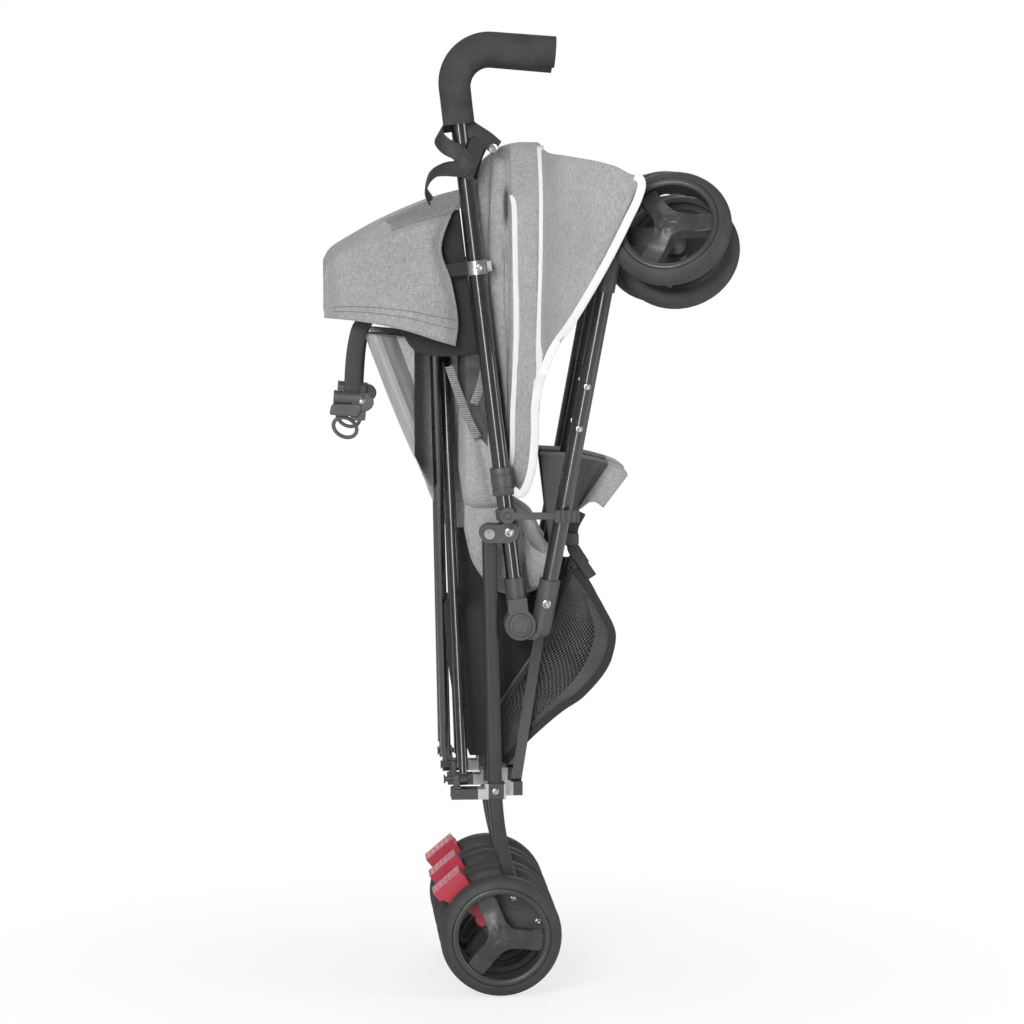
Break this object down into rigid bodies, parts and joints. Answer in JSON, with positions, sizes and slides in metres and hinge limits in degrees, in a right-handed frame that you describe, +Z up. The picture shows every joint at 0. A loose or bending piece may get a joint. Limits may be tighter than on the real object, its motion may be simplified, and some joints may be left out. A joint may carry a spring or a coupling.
{
  "type": "twin umbrella stroller",
  "caption": "Side-by-side umbrella stroller folded into an upright bundle: hooked push handles, cross-braced tube frames, paired wheels, cloth seats, hoods and mesh baskets.",
  "frame": {"origin": "on the floor, under the rear axle line, in the plane of the middle frame", "axes": "+Z up; +X towards the folded front wheels, the way the stroller drives; +Y across the frames, from the near one to the far one"},
  "size_m": [0.481, 0.4398, 1.1022],
  "materials": {
    "frame_tube": "gloss",
    "moulding": "satin",
    "wheel_rim": "satin",
    "tread": "matte",
    "plated": "satin",
    "pedal_red": "satin",
    "foam": "matte",
    "heather": "woven",
    "mesh": "open mesh",
    "webbing": "woven webbing"
  },
  "bodies": {
    "middle_frame": {"middle_push_tube": "frame_tube", "middle_tube_fittings": "moulding"},
    "near_frame": {"near_push_tube": "frame_tube", "near_tube_fittings": "moulding", "near_grip": "foam", "near_canopy": "heather", "near_seat": "heather", "near_strap": "webbing"},
    "far_frame": {"far_push_tube": "frame_tube", "far_tube_fittings": "moulding", "far_grip": "foam", "far_canopy": "heather", "far_seat": "heather", "far_strap": "webbing"},
    "near_front": {"near_front_leg": "frame_tube", "near_leg_ends": "moulding"},
    "near_caster": {"near_caster_fork": "moulding"},
    "near_front_wheels": {"near_front_rims": "wheel_rim", "near_front_tyres": "tread"},
    "near_rear": {"near_rear_leg": "frame_tube", "near_axle_housing": "moulding", "near_brace_bracket": "plated"},
    "near_rear_wheels": {"near_rear_rims": "wheel_rim", "near_rear_tyres": "tread"},
    "near_pedal": {"near_brake_pedal": "pedal_red"},
    "near_swivel": {"near_brace_swivel": "moulding"},
    "near_rail": {"near_seat_rail": "frame_tube"},
    "middle_front": {"middle_front_leg": "frame_tube", "middle_leg_ends": "moulding"},
    "middle_caster": {"middle_caster_fork": "moulding"},
    "middle_front_wheels": {"middle_front_rims": "wheel_rim", "middle_front_tyres": "tread"},
    "middle_rear": {"middle_rear_leg": "frame_tube", "middle_axle_housing": "moulding", "middle_brace_bracket": "plated"},
    "middle_rear_wheels": {"middle_rear_rims": "wheel_rim", "middle_rear_tyres": "tread"},
    "middle_pedal": {"middle_brake_pedal": "pedal_red"},
    "middle_swivel": {"middle_brace_swivel": "moulding"},
    "middle_rail": {"middle_seat_rail": "frame_tube"},
    "far_front": {"far_front_leg": "frame_tube", "far_leg_ends": "moulding"},
    "far_caster": {"far_caster_fork": "moulding"},
    "far_front_wheels": {"far_front_rims": "wheel_rim", "far_front_tyres": "tread"},
    "far_rear": {"far_rear_leg": "frame_tube", "far_axle_housing": "moulding", "far_brace_bracket": "plated"},
    "far_rear_wheels": {"far_rear_rims": "wheel_rim", "far_rear_tyres": "tread"},
    "far_pedal": {"far_brake_pedal": "pedal_red"},
    "far_swivel": {"far_brace_swivel": "moulding"},
    "far_rail": {"far_seat_rail": "frame_tube"},
    "near_front_brace": {"near_front_brace": "frame_tube"},
    "near_rear_brace": {"near_rear_brace": "frame_tube"},
    "far_front_brace": {"far_front_brace": "frame_tube"},
    "far_rear_brace": {"far_rear_brace": "frame_tube"},
    "near_basket": {"near_basket": "mesh"},
    "far_basket": {"far_basket": "mesh"},
    "latch": {"fold_latch": "moulding"}
  },
  "joints": [
    {"name": "fold", "type": "hinge", "parent": "middle_frame", "child": "middle_front", "pos_m": [0.02577, 0, 0.42565], "axis": [0, 1, 0], "range_deg": [0, 146.5], "deforming": ["near_canopy", "far_canopy", "near_seat", "far_seat", "near_basket", "far_basket", "near_strap", "far_strap"]},
    {"name": "near_spread", "type": "slide", "parent": "middle_frame", "child": "near_frame", "axis": [0, -1, 0], "range_m": [0, 0.23873]},
    {"name": "far_spread", "type": "slide", "parent": "middle_frame", "child": "far_frame", "axis": [0, 1, 0], "range_m": [0, 0.23873]},
    {"name": "near_fold", "type": "hinge", "parent": "near_frame", "child": "near_front", "pos_m": [0.0236, -0.11, 0.4258], "axis": [0, 1, 0], "range_deg": [0, 146.52]},
    {"name": "near_rear_swing", "type": "hinge", "parent": "near_frame", "child": "near_rear", "pos_m": [-0.0116, -0.11, 0.5308], "axis": [0, 1, 0], "range_deg": [0, 48.72]},
    {"name": "near_swivel_tilt", "type": "hinge", "parent": "near_rear", "child": "near_swivel", "pos_m": [-0.04879, -0.11, 0.233], "axis": [0, 1, 0], "range_deg": [-24.58, 0]},
    {"name": "near_rail_turn", "type": "hinge", "parent": "near_rear", "child": "near_rail", "pos_m": [0.01986, -0.0865, 0.233], "axis": [0, 1, 0], "range_deg": [0, 18.44]},
    {"name": "near_caster_swivel", "type": "hinge", "parent": "near_front", "child": "near_caster", "pos_m": [0.12618, -0.14861, 0.85577], "axis": [-0.8796, 0, -0.4756], "range_deg": [-30, 12]},
    {"name": "near_front_wheel_spin", "type": "hinge", "parent": "near_caster", "child": "near_front_wheels", "pos_m": [0.19553, -0.16345, 0.86627], "axis": [0.252, 0.848, -0.4661], "continuous": true},
    {"name": "near_rear_wheel_spin", "type": "hinge", "parent": "near_rear", "child": "near_rear_wheels", "pos_m": [0, -0.11, 0.07], "axis": [0, 1, 0], "continuous": true},
    {"name": "near_brake_press", "type": "hinge", "parent": "near_rear", "child": "near_pedal", "pos_m": [-0.02, -0.11, 0.086], "axis": [0, 1, 0], "range_deg": [-18, 0]},
    {"name": "middle_rear_swing", "type": "hinge", "parent": "middle_frame", "child": "middle_rear", "pos_m": [-0.00878, 0, 0.53086], "axis": [0, 1, 0], "range_deg": [0, 48.72]},
    {"name": "middle_swivel_tilt", "type": "hinge", "parent": "middle_rear", "child": "middle_swivel", "pos_m": [-0.04779, 0, 0.2333], "axis": [0, 1, 0], "range_deg": [-24.58, 0]},
    {"name": "middle_rail_turn", "type": "hinge", "parent": "middle_rear", "child": "middle_rail", "pos_m": [0.02085, 0.0235, 0.23288], "axis": [0, 1, 0], "range_deg": [0, 18.44]},
    {"name": "middle_caster_swivel", "type": "hinge", "parent": "middle_front", "child": "middle_caster", "pos_m": [0.13128, 0, 0.85664], "axis": [-0.8825, 0, -0.4702], "range_deg": [-30, 12]},
    {"name": "middle_front_wheel_spin", "type": "hinge", "parent": "middle_caster", "child": "middle_front_wheels", "pos_m": [0.2007, -0.01484, 0.86672], "axis": [0.2492, 0.848, -0.4677], "continuous": true},
    {"name": "middle_rear_wheel_spin", "type": "hinge", "parent": "middle_rear", "child": "middle_rear_wheels", "pos_m": [0, 0, 0.07], "axis": [0, 1, 0], "continuous": true},
    {"name": "middle_brake_press", "type": "hinge", "parent": "middle_rear", "child": "middle_pedal", "pos_m": [-0.0199, 0, 0.08612], "axis": [0, 1, 0], "range_deg": [-18, 0]},
    {"name": "far_fold", "type": "hinge", "parent": "far_frame", "child": "far_front", "pos_m": [0.02795, 0.11, 0.42549], "axis": [0, 1, 0], "range_deg": [0, 146.52]},
    {"name": "far_rear_swing", "type": "hinge", "parent": "far_frame", "child": "far_rear", "pos_m": [-0.00597, 0.11, 0.53091], "axis": [0, 1, 0], "range_deg": [0, 48.72]},
    {"name": "far_swivel_tilt", "type": "hinge", "parent": "far_rear", "child": "far_swivel", "pos_m": [-0.0468, 0.11, 0.23358], "axis": [0, 1, 0], "range_deg": [-24.58, 0]},
    {"name": "far_rail_turn", "type": "hinge", "parent": "far_rear", "child": "far_rail", "pos_m": [0.02185, 0.0865, 0.23275], "axis": [0, 1, 0], "range_deg": [0, 18.44]},
    {"name": "far_caster_swivel", "type": "hinge", "parent": "far_front", "child": "far_caster", "pos_m": [0.13577, 0.14861, 0.85417], "axis": [-0.8854, 0, -0.4648], "range_deg": [-30, 12]},
    {"name": "far_front_wheel_spin", "type": "hinge", "parent": "far_caster", "child": "far_front_wheels", "pos_m": [0.20524, 0.13377, 0.86382], "axis": [0.2463, 0.848, -0.4692], "continuous": true},
    {"name": "far_rear_wheel_spin", "type": "hinge", "parent": "far_rear", "child": "far_rear_wheels", "pos_m": [0, 0.11, 0.07], "axis": [0, 1, 0], "continuous": true},
    {"name": "far_brake_press", "type": "hinge", "parent": "far_rear", "child": "far_pedal", "pos_m": [-0.0198, 0.11, 0.08624], "axis": [0, 1, 0], "range_deg": [-18, 0]},
    {"name": "near_front_brace_swing", "type": "hinge", "parent": "near_swivel", "child": "near_front_brace", "pos_m": [-0.04133, -0.11, 0.24729], "axis": [0.9993, 0, 0.0382], "range_deg": [-25.1, 0]},
    {"name": "near_rear_brace_swing", "type": "hinge", "parent": "middle_swivel", "child": "near_rear_brace", "pos_m": [-0.05624, 0, 0.24703], "axis": [0.9995, 0, 0.0321], "range_deg": [0, 25.1]},
    {"name": "far_front_brace_swing", "type": "hinge", "parent": "middle_swivel", "child": "far_front_brace", "pos_m": [-0.04025, 0, 0.24754], "axis": [0.9995, 0, 0.0321], "range_deg": [-25.1, 0]},
    {"name": "far_rear_brace_swing", "type": "hinge", "parent": "far_swivel", "child": "far_rear_brace", "pos_m": [-0.05516, 0.11, 0.24737], "axis": [0.9997, 0, 0.026], "range_deg": [0, 25.1]},
    {"name": "near_basket_spread", "type": "slide", "parent": "middle_rail", "child": "near_basket", "axis": [0, -1, 0], "range_m": [0, 0.23873]},
    {"name": "far_basket_spread", "type": "slide", "parent": "middle_rail", "child": "far_basket", "axis": [0, 1, 0], "range_m": [0, 0.23873]},
    {"name": "latch_swing", "type": "hinge", "parent": "near_frame", "child": "latch", "pos_m": [0.00822, -0.136, 0.55287], "axis": [0, 1, 0], "range_deg": [0, 75]}
  ],
  "couplings": [
    {"joint": "near_spread", "follows": "fold", "m_per_rad": 0.093288},
    {"joint": "far_spread", "follows": "fold", "m_per_rad": 0.093288},
    {"joint": "near_fold", "follows": "fold", "ratio": 1},
    {"joint": "near_rear_swing", "follows": "fold", "ratio": 0.33242},
    {"joint": "near_swivel_tilt", "follows": "fold", "ratio": -0.16762},
    {"joint": "near_rail_turn", "follows": "fold", "ratio": 0.12575},
    {"joint": "middle_rear_swing", "follows": "fold", "ratio": 0.33242},
    {"joint": "middle_swivel_tilt", "follows": "fold", "ratio": -0.16762},
    {"joint": "middle_rail_turn", "follows": "fold", "ratio": 0.12575},
    {"joint": "far_fold", "follows": "fold", "ratio": 1},
    {"joint": "far_rear_swing", "follows": "fold", "ratio": 0.33242},
    {"joint": "far_swivel_tilt", "follows": "fold", "ratio": -0.16762},
    {"joint": "far_rail_turn", "follows": "fold", "ratio": 0.12575},
    {"joint": "near_front_brace_swing", "follows": "fold", "ratio": -0.1712},
    {"joint": "near_rear_brace_swing", "follows": "fold", "ratio": 0.1712},
    {"joint": "far_front_brace_swing", "follows": "fold", "ratio": -0.1712},
    {"joint": "far_rear_brace_swing", "follows": "fold", "ratio": 0.1712},
    {"joint": "near_basket_spread", "follows": "fold", "m_per_rad": 0.093288},
    {"joint": "far_basket_spread", "follows": "fold", "m_per_rad": 0.093288}
  ]
}
